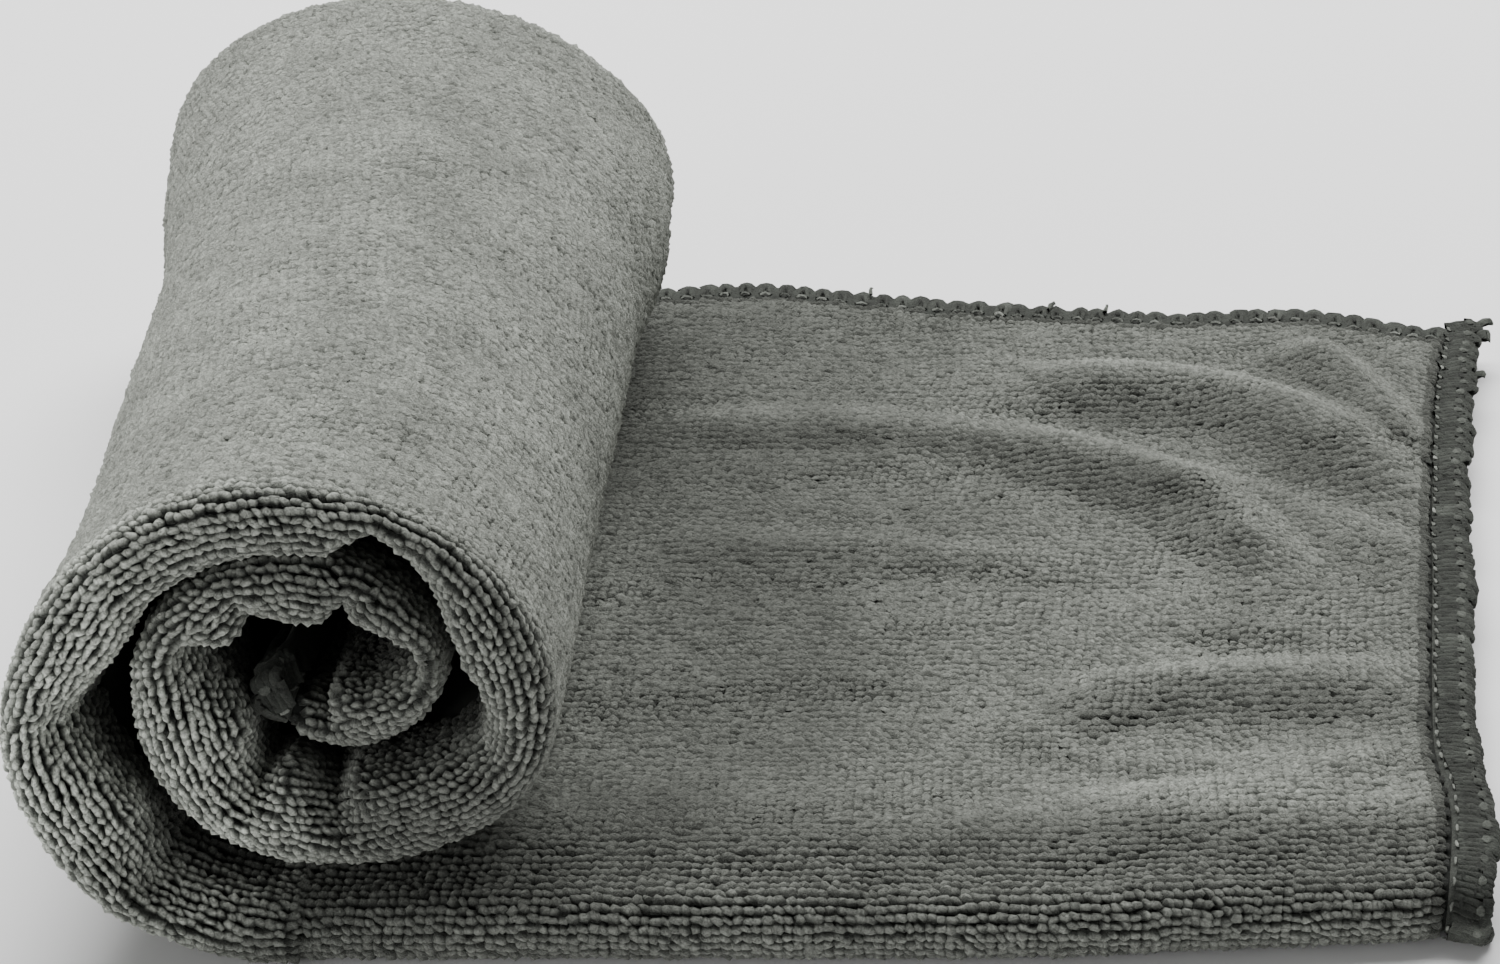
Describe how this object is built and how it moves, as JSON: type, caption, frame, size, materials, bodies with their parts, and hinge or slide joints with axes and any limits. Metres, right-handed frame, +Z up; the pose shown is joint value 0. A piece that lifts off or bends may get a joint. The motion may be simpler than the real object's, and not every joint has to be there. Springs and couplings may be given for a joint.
{
  "type": "rolled travel towel",
  "caption": "Small looped towel folded lengthwise and partly rolled, with the loose end lying flat and overlocked edges.",
  "frame": {"origin": "middle of the towel's box, on the surface it lies on", "axes": "+X from the roll to the loose end, +Y from the front fold to the open edges at the back, +Z up"},
  "size_m": [0.2292, 0.1938, 0.0736],
  "materials": {
    "looped_cloth": "grey-green looped pile, matt",
    "edging_yarn": "dark grey overlock yarn, matt"
  },
  "bodies": {
    "root": {"towel_cloth": "looped_cloth", "end_edging": "edging_yarn", "start_edging": "edging_yarn", "side_edging_under": "edging_yarn", "side_edging_top": "edging_yarn"}
  },
  "joints": []
}
